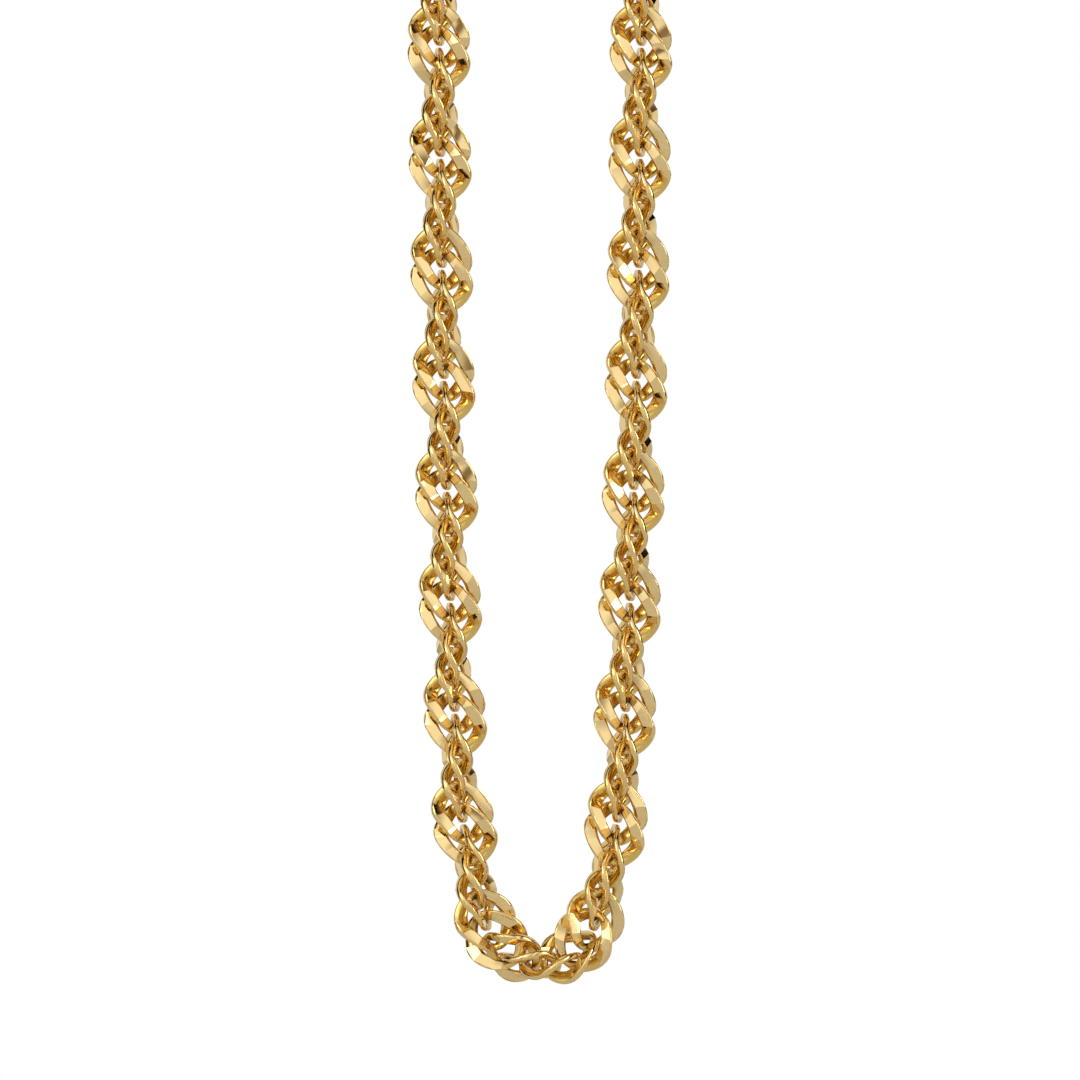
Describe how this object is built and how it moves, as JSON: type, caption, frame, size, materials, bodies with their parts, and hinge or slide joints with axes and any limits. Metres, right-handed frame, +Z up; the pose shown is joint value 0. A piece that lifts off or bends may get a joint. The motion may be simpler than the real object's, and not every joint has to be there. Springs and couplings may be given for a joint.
{
  "type": "gold neck chain",
  "caption": "Closed-loop neck chain of interlocked twisted oval links with flat cut faces and a plain barrel clasp, hanging from its upper end.",
  "frame": {"origin": "inside of the top of the loop, where a neck or a peg carries the chain", "axes": "+Z up along the hanging loop, +X across the loop, +Y square to the plane of the loop, away from the viewer"},
  "size_m": [0.0336, 0.0078, 0.2185],
  "materials": {
    "gold_links": "bright polished yellow gold with flat cut faces",
    "gold_clasp": "polished yellow gold"
  },
  "bodies": {
    "root": {"chain_left": "gold_links", "chain_right": "gold_links", "clasp": "gold_clasp"}
  },
  "joints": []
}
